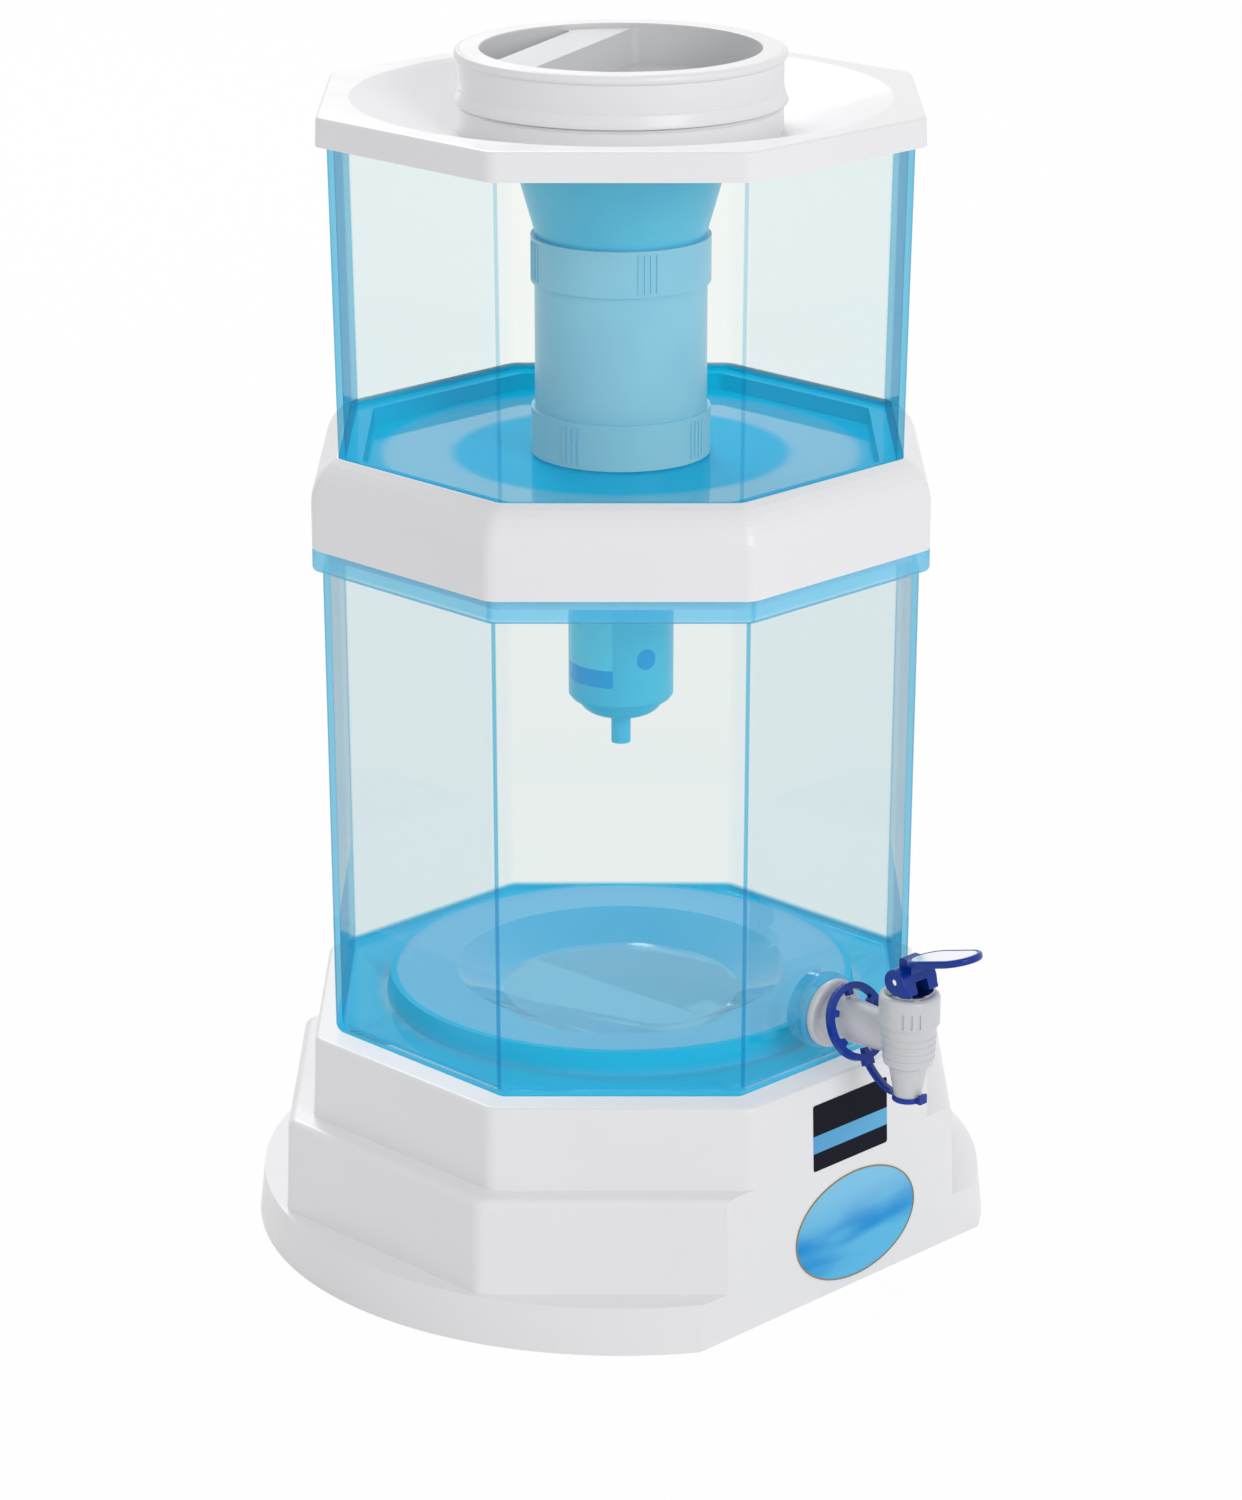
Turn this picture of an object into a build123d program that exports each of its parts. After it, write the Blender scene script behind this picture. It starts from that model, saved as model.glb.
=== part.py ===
from build123d import *
import math
import os

# Gravity water filter with a tap: two clear octagonal tanks on a stepped stand.
# Millimetres, +Z up, the tap towards -Y. The origin is on the tanks' axis, at the stand's underside.

# ---------------------------------------------------------------- driving dimensions
wall = 3.0                  # wall of the stand, tanks, band and lid
seat_gap = 0.3              # clearance between pieces that lift apart
flush_gap = 0.15            # clearance between pieces of one body
sides = 8
side_turn = 180 / sides     # turns the octagons so that a flat faces the front

# stand
rim_radius = 177.5
rim_top_radius = 175.0
rim_height = 22.5
stand_height = 108.7
lower_tier_flats = 319.0
lower_tier_height = 68.5
upper_tier_flats = 293.0
front_offset = 148.5        # front plane's distance from the axis at the floor
draft = 0.032               # lean of every stand wall, mm per mm
stand_corner = 9.0
stand_round = 4.0
plateau_outer_radius = 110.7
plateau_inner_radius = 82.5
plateau_dip_radius = 60.0
plateau_height = 11.0
plateau_lean = 2.0          # run of the plateau's outer slope

# lower tank
tank_corner = 7.0
tank_top_flats = 274.0
tank_bottom_flats = tank_top_flats - 3.6
tank_foot_round = 5.5
tank_height = 240.3
flange_flats = tank_top_flats + 9.0
flange_depth = 10.7
flange_round = 2.5

# collar band
band_height = 41.6
band_straight = 21.6
band_sweep = 60.0           # degrees of the shoulder's arc
band_corner = 9.0
shelf_thickness = 3.0
shelf_lift = 3.0
shelf_bearing = 8.25        # width of the shelf under the upper tank's foot
shoulder_lip = 0.8          # flat edge of the shoulder round the upper tank
skirt_depth = 6.0
skirt_wall = 2.5

# upper tank
upper_foot_flats = flange_flats - 26.5
upper_top_flats = upper_foot_flats + 6.3
upper_tank_height = 186.5
upper_floor_lift = 22.0     # floor's underside above the tank's foot
ledge_width = 8.0
ledge_height = 8.0

# lid
lid_flats = upper_top_flats + 9.9
lid_lean = 0.5
lid_lip = 2.0               # lid's inner step that rests on the upper tank's wall
lid_skirt_depth = 6.9
lid_rim_thickness = 6.3
lid_dish_radius = lid_flats / 2 - 12.35
lid_dish_depth = 15.8
lid_round = 1.6
neck_radius = 69.0
neck_outer_radius = 74.5
neck_height = 13.0
bead_proud = 0.7
bead_height = 1.6

# fill cap
cap_radius = 74.5
cap_height = 24.0
cap_rim_height = 3.8
cap_rim_step = 0.6
cap_pocket_radius = 64.3
cap_pocket_depth = 19.0
cap_floor = 3.0
cap_plug_depth = 12.0
cap_bar_width = 23.0
cap_bar_offset = 31.0       # bar's distance from the cap's axis
cap_bar_turn = 22.3         # bar's angle from +X
cap_bar_drop = 2.2
seal_thickness = 0.5
seal_margin = 1.5
cap_pocket_corner = 4.0
cap_edge_round = 0.6

# filter in the upper tank
filter_radius = 40.0
filter_wall = 2.5
filter_height = 102.5
collar_radius = 41.75
collar_height = 21.5
rib_groups = 4
top_rib_turn = 242.5        # first group's angle from +X, on the top collar
bottom_rib_turn = 192.0
ribs_in_group = 4
rib_pitch = 4.0             # degrees between ribs of a group
rib_width = 1.2
rib_proud = 0.6
rib_root = 0.5
rib_margin = 2.0
gasket_thickness = 1.0
filter_gasket_inset = 8.0
cartridge_gasket_inset = 4.0
bundle_gap = 4.0
core_radius = 34.0
core_bore = 10.0
core_height = 72.0
funnel_foot_radius = 39.5
funnel_mouth_radius = 52.3
funnel_height = 45.0
funnel_wall = 2.0
funnel_spigot_radius = 34.0
funnel_spigot_depth = 8.0
outlet_radius = 9.0
outlet_bore = 5.0
outlet_depth = 18.0

# ultrafiltration cartridge under the upper tank
cartridge_radius = 24.9
cartridge_wall = 2.0
cartridge_cap_height = 24.0
cartridge_body_height = 88.0
cartridge_spigot = 8.0
dome_step_radius = 20.5
dome_step_height = 5.0
dome_height = 12.0
dome_shoulder = 1.5
dome_neck = 9.2
dome_bulge = (17.4, 2.6)    # point on the dome's curve, from the axis and above its foot
spout_radius = 4.65
spout_bore = 3.4
spout_length = 15.0
potting_height = 8.0
bundle_radius = 19.5

# tap
tap_height = 137.0          # stem's axis above the floor
stem_reach = 48.8           # body's axis in front of the stem's flange
boss_radius = 17.6
boss_proud = 0.8
boss_depth = 6.0            # boss's length inside the tank
tap_gasket_radius = 14.8
tap_gasket_thickness = 1.0
tap_flange_radius = 16.2
tap_flange_thickness = 3.6
tap_flange_round = 1.2
stem_root_radius = 11.2
stem_tip_radius = 8.2
stem_bore = 5.0
tail_radius = 8.8
tail_gap = 0.15
tap_body_top = 146.3
tap_body_bottom = 125.4
tap_body_top_radius = 12.9
tap_body_foot_radius = 11.4
tap_ring_count = 4
tap_ring_height = 1.2
tap_ring_proud = 0.35
nozzle_top_radius = 9.2
nozzle_tip_radius = 6.3
nozzle_length = 15.2
nozzle_bore = 4.4
chamber_radius = 9.0
chamber_floor = 129.0
bonnet_radius = 14.1
bonnet_height = 14.2
bonnet_top_wall = 2.5
bonnet_round = 2.0
bonnet_grooves = 3
groove_turn = 225.0         # middle groove's angle from +X
groove_pitch = 16.0
groove_width = 1.2
groove_depth = 0.65
groove_height = 7.1
washer_radius = 11.4
washer_thickness = 1.5
plunger_radius = 3.0
plunger_gap = 0.05
head_radius = 3.6
head_round = 1.0
head_rise = 2.4             # plunger head's top above the pin
spring_seat = 1.5
valve_radius = 7.0
valve_thickness = 3.0
spring_radius = 5.4
spring_wire = 1.0
spring_turns = 5
spring_gap = 0.1

# lever: its cam rolls on the washer and lifts the plunger
pin_rise = 6.1              # pin's axis above the washer
pin_radius = 1.5
pin_inset = 0.5
ear_radius = 6.0
ear_reach = 11.2            # outer side of each ear from the tap's axis
ear_plan_radius = 12.6
ear_side_gap = 0.3
ear_rest_gap = 0.1
ear_round = 0.7
cam_distance = 7.0          # cam's centre in front of the pin
cam_radius = 1.3
neck_width = 10.0
neck_front = 5.0
neck_back = 2.4
paddle_tilt = 16.0
paddle_width = 23.0
paddle_length = 38.5
paddle_start = 1.5          # paddle's root in front of the pin
paddle_rise = 10.0          # paddle's top above the pin, over the pin
paddle_thickness = 3.4
paddle_round = 1.2
plate_inset = 1.8
plate_recess = 1.2
plate_round = 0.4

# strap and spout cap
ring_radius = 18.4
ring_bar = 3.2
ring_thickness = 3.0
ring_lean = 22.0            # ring's foot leans towards the tap's body
ring_distance = 32.0        # ring's centre behind the tap body's axis
ring_teeth = 6
tooth_turn = 30.0
tooth_width = 3.0
tooth_circle = 12.6
lug_width = 6.0
lug_drop = 2.5
strap_width = 4.6
strap_thickness = 1.6
strap_gap = 0.1
stopper_radius = 7.2
stopper_flange = 2.4
stopper_round = 0.5
stopper_plug_radius = 4.2
stopper_plug_length = 5.0
tab_length = 3.6
tab_height = 1.6
tab_lip = 4.4               # lip at the front tab's end, for a finger
tab_lip_thickness = 1.2

# ---------------------------------------------------------------- levels and places
tank_foot = stand_height
tank_top = tank_foot + tank_height
band_top = tank_top + band_height
shelf_top = tank_top + shelf_lift + shelf_thickness
upper_tank_top = shelf_top + upper_tank_height
upper_floor_under = shelf_top + upper_floor_lift
upper_floor = upper_floor_under + wall
lid_top = upper_tank_top + lid_rim_thickness
lid_bottom = upper_tank_top - lid_skirt_depth
neck_foot = lid_top - lid_dish_depth
neck_top = neck_foot + neck_height
cap_foot = neck_top + seal_thickness
cap_top = cap_foot + cap_height
filter_foot = upper_floor + gasket_thickness
filter_top = filter_foot + filter_height
cartridge_top = upper_floor_under - gasket_thickness
cartridge_joint = cartridge_top - cartridge_cap_height
dome_top = cartridge_joint - cartridge_body_height

tap_level = tap_height - tank_foot
tap_face_flats = tank_bottom_flats + (tank_top_flats - tank_bottom_flats) * tap_level / tank_height
boss_face = tap_face_flats / 2 + boss_proud
boss_back = tap_face_flats / 2 - wall - boss_depth
flange_back = boss_face + tap_gasket_thickness
tap_reach = flange_back + stem_reach
bonnet_top = tap_body_top + bonnet_height
washer_top = bonnet_top + washer_thickness
pin_level = washer_top + pin_rise
tap_axis = Plane((0, -tap_reach, 0))
front_plane = Plane((0, -front_offset, 0), x_dir=(1, 0, 0), z_dir=(0, -1, draft))


# ---------------------------------------------------------------- helpers
def octagon_section(level, flats, corner):
    """Rounded octagon, flats apart, on a level plane."""
    with BuildSketch(Plane.XY.offset(level)) as section:
        RegularPolygon(flats / 2, sides, major_radius=False, rotation=side_turn)
        fillet(section.vertices(), corner)
    return section.sketch


def octagon_tower(levels, corner, mode=Mode.ADD):
    """Straight-walled solid through (level, flats) pairs."""
    loft([octagon_section(level, flats, corner) for level, flats in levels], ruled=True, mode=mode)


def revolve_profile(points, mode=Mode.ADD):
    """Solid of revolution about the tanks' axis from (radius, level) pairs."""
    with BuildSketch(Plane.XZ) as profile:
        with BuildLine():
            Polyline(*points, close=True)
        make_face()
    revolve(profile.sketch, axis=Axis.Z, mode=mode)


def disc(radius, bottom, top, mode=Mode.ADD, plane=Plane.XY, bore=0.0):
    """Cylinder or ring between two levels of a plane."""
    with BuildSketch(plane.offset(bottom)) as section:
        Circle(radius)
        if bore:
            Circle(bore, mode=Mode.SUBTRACT)
    extrude(section.sketch, amount=top - bottom, mode=mode)


def save(builder, name):
    """Label a finished sub-part and write its STEP file."""
    builder.part.label = name
    export_step(builder.part, f"parts/{name}.step")


os.makedirs("parts", exist_ok=True)


# ---------------------------------------------------------------- stand
def stand_form(inset, top, rounded):
    """Stepped block: round rim, two octagonal tiers, one flat front."""
    shelf_level = lower_tier_height - inset
    lean = 2 * draft
    with BuildPart() as form:
        octagon_tower(
            [(0, lower_tier_flats + lean * lower_tier_height / 2 - 2 * inset),
             (shelf_level, lower_tier_flats - lean * lower_tier_height / 2 - 2 * inset)],
            stand_corner)
        if rounded:
            fillet(form.faces().sort_by(Axis.Z)[-1].edges(), stand_round)
        tier_rise = stand_height - lower_tier_height
        octagon_tower(
            [(0, upper_tier_flats + lean * lower_tier_height - 2 * inset),
             (top, upper_tier_flats - lean * tier_rise - 2 * inset)],
            stand_corner)
        if rounded:
            fillet(form.faces().sort_by(Axis.Z)[-1].edges(), stand_round / 2)
        with BuildSketch(Plane.XZ):
            with BuildLine():
                Polyline((0, 0), (rim_radius - inset, 0),
                         (rim_top_radius - inset, rim_height - inset), (0, rim_height - inset), close=True)
            make_face()
        revolve(axis=Axis.Z)
        split(bisect_by=front_plane.offset(-inset), keep=Keep.BOTTOM)
    return form.part


with BuildPart() as base_stand:
    add(stand_form(0, stand_height, True))
    add(stand_form(wall, stand_height - wall, False), mode=Mode.SUBTRACT)
    revolve_profile([
        (plateau_dip_radius, stand_height - wall), (plateau_inner_radius, stand_height + plateau_height),
        (plateau_outer_radius - plateau_lean, stand_height + plateau_height),
        (plateau_outer_radius, stand_height),
        (plateau_outer_radius, stand_height - wall)])
    revolve_profile([
        (plateau_dip_radius + 2 * wall, stand_height - wall - 1),
        (plateau_dip_radius + 2 * wall, stand_height - wall),
        (plateau_inner_radius + wall, stand_height + plateau_height - wall),
        (plateau_outer_radius - plateau_lean - wall, stand_height + plateau_height - wall),
        (plateau_outer_radius - wall, stand_height - wall),
        (plateau_outer_radius - wall, stand_height - wall - 1)],
        mode=Mode.SUBTRACT)
save(base_stand, "base_stand")


# ---------------------------------------------------------------- lower tank
tank_slope = (tank_top_flats - tank_bottom_flats) / tank_height
with BuildPart() as lower_tank:
    octagon_tower([(tank_foot, tank_bottom_flats), (tank_top, tank_top_flats)], tank_corner)
    fillet(lower_tank.faces().sort_by(Axis.Z)[0].edges(), tank_foot_round)
    with BuildPart(mode=Mode.PRIVATE) as flange:
        octagon_tower([(tank_top - flange_depth, flange_flats), (tank_top, flange_flats)], tank_corner)
        fillet(flange.faces().sort_by(Axis.Z)[0].edges(), flange_round)
    add(flange.part)
    with BuildPart(mode=Mode.PRIVATE) as inside:
        octagon_tower(
            [(tank_foot + wall, tank_bottom_flats + tank_slope * wall - 2 * wall),
             (tank_top, tank_top_flats - 2 * wall)],
            tank_corner - wall)
        fillet(inside.faces().sort_by(Axis.Z)[0].edges(), tank_foot_round - wall)
    add(inside.part, mode=Mode.SUBTRACT)
    revolve_profile([
        (plateau_dip_radius, tank_foot), (plateau_dip_radius - wall, tank_foot + wall),
        (plateau_inner_radius - wall, tank_foot + plateau_height + wall),
        (plateau_outer_radius + wall - plateau_lean, tank_foot + plateau_height + wall),
        (plateau_outer_radius + wall, tank_foot + wall), (plateau_outer_radius + wall, tank_foot)])
    revolve_profile([
        (plateau_dip_radius - seat_gap, tank_foot - 1), (plateau_dip_radius - seat_gap, tank_foot),
        (plateau_inner_radius - seat_gap, tank_foot + plateau_height + seat_gap),
        (plateau_outer_radius + seat_gap - plateau_lean, tank_foot + plateau_height + seat_gap),
        (plateau_outer_radius + seat_gap, tank_foot), (plateau_outer_radius + seat_gap, tank_foot - 1)],
        mode=Mode.SUBTRACT)
    boss_plane = Plane((0, 0, tap_height), z_dir=(0, -1, 0))
    disc(boss_radius, boss_back, boss_face, plane=boss_plane)
    disc(tail_radius + tail_gap, boss_back - 1, boss_face + 1, mode=Mode.SUBTRACT, plane=boss_plane)
save(lower_tank, "lower_tank")


# ---------------------------------------------------------------- collar band
shoulder_rise = band_height - band_straight
upper_slope = (upper_top_flats - upper_foot_flats) / upper_tank_height
band_mouth = upper_foot_flats + upper_slope * (band_top - shelf_top) + 2 * flush_gap
sweep_angle = math.radians(band_sweep)
shelf_inner_flats = upper_foot_flats - 2 * shelf_bearing
shoulder_run = (flange_flats - band_mouth) / 2 - shoulder_lip
band_steps = 6
band_levels = [(tank_top, flange_flats)]
for step in range(band_steps + 1):
    turn = sweep_angle * step / band_steps
    band_levels.append((
        tank_top + band_straight + shoulder_rise * math.sin(turn) / math.sin(sweep_angle),
        flange_flats - 2 * shoulder_run * (1 - math.cos(turn)) / (1 - math.cos(sweep_angle))))
with BuildPart() as collar_band:
    octagon_tower(band_levels, band_corner)
    octagon_tower([(level, flats - 2 * wall) for level, flats in band_levels[:-2]], band_corner - wall,
                  mode=Mode.SUBTRACT)
    octagon_tower([(shelf_top - shelf_thickness, flange_flats - wall), (shelf_top, flange_flats - wall)],
                  band_corner - wall)
    octagon_tower([(tank_top - skirt_depth, tank_top_flats - 2 * wall - 2 * seat_gap),
                   (shelf_top, tank_top_flats - 2 * wall - 2 * seat_gap)], tank_corner - wall)
    octagon_tower([(tank_top - skirt_depth, tank_top_flats - 2 * (wall + seat_gap + skirt_wall)),
                   (shelf_top - shelf_thickness, tank_top_flats - 2 * (wall + seat_gap + skirt_wall))],
                  tank_corner - wall, mode=Mode.SUBTRACT)
    octagon_tower([(shelf_top - shelf_thickness, shelf_inner_flats), (shelf_top, shelf_inner_flats)],
                  tank_corner - wall, mode=Mode.SUBTRACT)
    octagon_tower([(shelf_top, upper_foot_flats + 2 * flush_gap),
                   (band_top, band_mouth)], tank_corner, mode=Mode.SUBTRACT)
save(collar_band, "collar_band")


# ---------------------------------------------------------------- upper tank
floor_flats = upper_foot_flats + upper_slope * upper_floor_lift
with BuildPart() as upper_tank:
    octagon_tower([(shelf_top, upper_foot_flats), (upper_tank_top, upper_top_flats)], tank_corner)
    octagon_tower([(shelf_top, upper_foot_flats - 2 * wall),
                   (upper_floor_under, floor_flats - 2 * wall)], tank_corner - wall, mode=Mode.SUBTRACT)
    ledge_flats = floor_flats - 2 * wall - 2 * ledge_width
    octagon_tower([(upper_floor, ledge_flats), (upper_floor + ledge_height, ledge_flats + 1)],
                  tank_corner - wall, mode=Mode.SUBTRACT)
    mouth_foot = upper_floor + ledge_height
    octagon_tower([(mouth_foot, upper_foot_flats + upper_slope * (mouth_foot - shelf_top) - 2 * wall),
                   (upper_tank_top, upper_top_flats - 2 * wall)], tank_corner - wall, mode=Mode.SUBTRACT)
    disc(outlet_radius + seat_gap, upper_floor_under - 1, upper_floor + 1, mode=Mode.SUBTRACT)
save(upper_tank, "upper_tank")


# ---------------------------------------------------------------- lid
lid_cavity_flats = upper_top_flats + 4 * seat_gap
lid_inner_flats = upper_top_flats - 2 * wall - 2 * lid_lip
with BuildPart() as lid:
    octagon_tower([(lid_bottom, lid_flats), (lid_top, lid_flats - 2 * lid_lean)], stand_corner)
    fillet(lid.faces().sort_by(Axis.Z)[-1].edges(), lid_round)
    octagon_tower([(lid_bottom, lid_cavity_flats), (upper_tank_top, lid_cavity_flats)], tank_corner,
                  mode=Mode.SUBTRACT)
    octagon_tower([(lid_bottom, lid_inner_flats), (lid_top - wall, lid_inner_flats)], tank_corner,
                  mode=Mode.SUBTRACT)
    revolve_profile([(0, neck_foot - wall - 1), (neck_outer_radius, neck_foot), (lid_dish_radius, lid_top),
                     (lid_dish_radius, lid_top + 1), (0, lid_top + 1)], mode=Mode.SUBTRACT)
    revolve_profile([(neck_radius, neck_foot - wall), (neck_outer_radius, neck_foot - wall),
                     (lid_dish_radius, lid_top - wall), (lid_dish_radius, lid_top),
                     (neck_outer_radius, neck_foot), (neck_outer_radius, neck_top - bead_height),
                     (neck_outer_radius + bead_proud, neck_top - bead_height / 2),
                     (neck_outer_radius, neck_top), (neck_radius, neck_top)])
save(lid, "lid")

# ---------------------------------------------------------------- fill cap and its seal
pocket_floor = cap_top - cap_pocket_depth
plug_radius = neck_radius - seat_gap
plug_foot = cap_foot - cap_plug_depth
with BuildPart() as fill_cap:
    revolve_profile([(0, plug_foot), (plug_radius, plug_foot), (plug_radius, cap_foot),
                     (cap_radius, cap_foot), (cap_radius, cap_top - cap_rim_height),
                     (cap_radius - cap_rim_step, cap_top - cap_rim_height),
                     (cap_radius - cap_rim_step, cap_top), (0, cap_top)])
    disc(plug_radius - wall, plug_foot, pocket_floor - cap_floor, mode=Mode.SUBTRACT)
    with BuildSketch(Plane.XY.offset(cap_top)) as pockets:
        Circle(cap_pocket_radius)
        with Locations(Plane.XY.rotated((0, 0, cap_bar_turn))):
            with Locations((0, cap_bar_offset)):
                Rectangle(3 * cap_radius, cap_bar_width, mode=Mode.SUBTRACT)
        fillet(pockets.vertices(), cap_pocket_corner)
    extrude(amount=-cap_pocket_depth, mode=Mode.SUBTRACT)
    with BuildSketch(Plane.XY.offset(cap_top)):
        Circle(cap_pocket_radius)
    extrude(amount=-cap_bar_drop, mode=Mode.SUBTRACT)
    fillet(fill_cap.edges().group_by(Axis.Z)[-1], cap_edge_round)
save(fill_cap, "fill_cap")

with BuildPart() as cap_seal:
    disc(cap_radius - seal_margin, neck_top, cap_foot, bore=neck_radius + seal_margin)
save(cap_seal, "cap_seal")


# ---------------------------------------------------------------- filter
def add_ribs(bottom, top, first_turn):
    """Groups of upright grip ribs around a collar."""
    with BuildSketch(Plane.XY.offset(bottom)) as ribs:
        for group in range(rib_groups):
            for rib in range(ribs_in_group):
                turn = first_turn + 360 * group / rib_groups + (rib - (ribs_in_group - 1) / 2) * rib_pitch
                with PolarLocations(collar_radius - rib_root + rib_proud / 2, 1, start_angle=turn):
                    Rectangle(rib_proud + 2 * rib_root, rib_width)
    extrude(ribs.sketch, amount=top - bottom)


with BuildPart() as filter_bottom_collar:
    disc(collar_radius, filter_foot, filter_foot + collar_height)
    add_ribs(filter_foot + rib_margin, filter_foot + collar_height - rib_margin, bottom_rib_turn)
    disc(filter_radius + flush_gap, filter_foot + wall, filter_foot + collar_height, mode=Mode.SUBTRACT)
    disc(outlet_radius, filter_foot - outlet_depth, filter_foot + wall)
    disc(outlet_bore, filter_foot - outlet_depth, filter_foot + wall, mode=Mode.SUBTRACT)
save(filter_bottom_collar, "filter_bottom_collar")

with BuildPart() as filter_gasket:
    disc(collar_radius - filter_gasket_inset, upper_floor, filter_foot, bore=outlet_radius + seat_gap)
save(filter_gasket, "filter_gasket")

housing_foot = filter_foot + wall
housing_top = filter_top - wall
with BuildPart() as filter_housing:
    disc(filter_radius, housing_foot, housing_top, bore=filter_radius - filter_wall)
save(filter_housing, "filter_housing")

with BuildPart() as filter_top_collar:
    disc(collar_radius, filter_top - collar_height, filter_top)
    add_ribs(filter_top - collar_height + rib_margin, filter_top - rib_margin, top_rib_turn)
    disc(filter_radius + flush_gap, filter_top - collar_height, filter_top - wall, mode=Mode.SUBTRACT)
    disc(funnel_spigot_radius + flush_gap, filter_top - wall, filter_top, mode=Mode.SUBTRACT)
save(filter_top_collar, "filter_top_collar")

with BuildPart() as sediment_core:
    disc(core_radius, housing_foot, housing_foot + core_height, bore=core_bore)
    fillet(sediment_core.edges().group_by(Axis.Z)[-1].sort_by(SortBy.LENGTH)[-1], 2)
save(sediment_core, "sediment_core")

with BuildPart() as funnel:
    revolve_profile([
        (funnel_spigot_radius - funnel_wall, filter_top - funnel_spigot_depth),
        (funnel_spigot_radius, filter_top - funnel_spigot_depth), (funnel_spigot_radius, filter_top),
        (funnel_foot_radius, filter_top), (funnel_mouth_radius, filter_top + funnel_height),
        (funnel_mouth_radius - funnel_wall, filter_top + funnel_height),
        (funnel_spigot_radius - funnel_wall, filter_top + funnel_wall)])
save(funnel, "funnel")

# ---------------------------------------------------------------- ultrafiltration cartridge
outlet_foot = filter_foot - outlet_depth
with BuildPart() as cartridge_cap:
    revolve_profile([
        (0, cartridge_joint - cartridge_spigot),
        (cartridge_radius - cartridge_wall - flush_gap, cartridge_joint - cartridge_spigot),
        (cartridge_radius - cartridge_wall - flush_gap, cartridge_joint), (cartridge_radius, cartridge_joint),
        (cartridge_radius, cartridge_top - dome_shoulder), (cartridge_radius - dome_shoulder, cartridge_top),
        (0, cartridge_top)])
    disc(outlet_radius + flush_gap, outlet_foot - flush_gap, cartridge_top, mode=Mode.SUBTRACT)
    disc(outlet_bore, cartridge_joint - cartridge_spigot, outlet_foot, mode=Mode.SUBTRACT)
save(cartridge_cap, "cartridge_cap")

with BuildPart() as cartridge_gasket:
    disc(cartridge_radius - cartridge_gasket_inset, cartridge_top, upper_floor_under,
         bore=outlet_radius + seat_gap)
save(cartridge_gasket, "cartridge_gasket")

step_foot = dome_top - dome_step_height
dome_foot = step_foot - (dome_height - dome_step_height)
spout_foot = dome_foot - spout_length
with BuildPart() as cartridge_body:
    with BuildSketch(Plane.XZ):
        with BuildLine():
            Polyline((spout_bore, spout_foot), (spout_radius, spout_foot), (spout_radius, dome_foot),
                     (dome_neck, dome_foot))
            Spline((dome_neck, dome_foot), (dome_bulge[0], dome_foot + dome_bulge[1]),
                   (dome_step_radius, step_foot))
            Polyline((dome_step_radius, step_foot), (cartridge_radius - dome_shoulder, step_foot + 1),
                     (cartridge_radius, step_foot + 2 * dome_shoulder), (cartridge_radius, cartridge_joint),
                     (cartridge_radius - cartridge_wall, cartridge_joint),
                     (cartridge_radius - cartridge_wall, dome_top),
                     (spout_bore, dome_foot + cartridge_wall), (spout_bore, spout_foot))
        make_face()
    revolve(axis=Axis.Z)
save(cartridge_body, "cartridge_body")

bundle_foot = dome_top + potting_height
bundle_top = cartridge_joint - cartridge_spigot - bundle_gap
with BuildPart() as cartridge_potting:
    disc(cartridge_radius - cartridge_wall - flush_gap, dome_top, bundle_foot)
save(cartridge_potting, "cartridge_potting")

with BuildPart() as fibre_bundle:
    disc(bundle_radius, bundle_foot, bundle_top)
    fillet(fibre_bundle.edges().group_by(Axis.Z)[-1], bundle_radius / 3)
save(fibre_bundle, "fibre_bundle")


# ---------------------------------------------------------------- tap
stem_plane = Plane((0, 0, tap_height), z_dir=(0, -1, 0))
nozzle_foot = tap_body_bottom - nozzle_length
ring_step = (tap_body_top - tap_body_bottom) / (tap_ring_count + 2)
body_taper = (tap_body_top_radius - tap_body_foot_radius) / (tap_body_top - tap_body_bottom)
with BuildPart() as tap_body:
    with BuildSketch(tap_axis.offset(tap_body_bottom)):
        Circle(tap_body_foot_radius)
    with BuildSketch(tap_axis.offset(tap_body_top)):
        Circle(tap_body_top_radius)
    loft()
    chamfer(tap_body.edges().group_by(Axis.Z)[0], tap_ring_height)
    for ring in range(tap_ring_count):
        level = tap_body_bottom + ring_step * (ring + 1)
        disc(tap_body_foot_radius + body_taper * (level - tap_body_bottom) + tap_ring_proud,
             level, level + tap_ring_height, plane=tap_axis)
    with BuildSketch(tap_axis.offset(nozzle_foot)):
        Circle(nozzle_tip_radius)
    with BuildSketch(tap_axis.offset(tap_body_bottom)):
        Circle(nozzle_top_radius)
    loft()
    with BuildSketch(stem_plane.offset(flange_back)):
        Circle(stem_root_radius)
    with BuildSketch(stem_plane.offset(tap_reach)):
        Circle(stem_tip_radius)
    loft()
    with BuildPart(mode=Mode.PRIVATE) as flange_disc:
        disc(tap_flange_radius, flange_back, flange_back + tap_flange_thickness, plane=stem_plane)
        fillet(flange_disc.edges(), tap_flange_round)
    add(flange_disc.part)
    disc(tail_radius, boss_back, flange_back + tap_flange_thickness / 2, plane=stem_plane)
    disc(chamber_radius, chamber_floor, tap_body_top, mode=Mode.SUBTRACT, plane=tap_axis)
    disc(nozzle_bore, nozzle_foot - 1, chamber_floor, mode=Mode.SUBTRACT, plane=tap_axis)
    disc(stem_bore, boss_back - 1, tap_reach - chamber_radius / 2, mode=Mode.SUBTRACT, plane=stem_plane)
save(tap_body, "tap_body")

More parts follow.
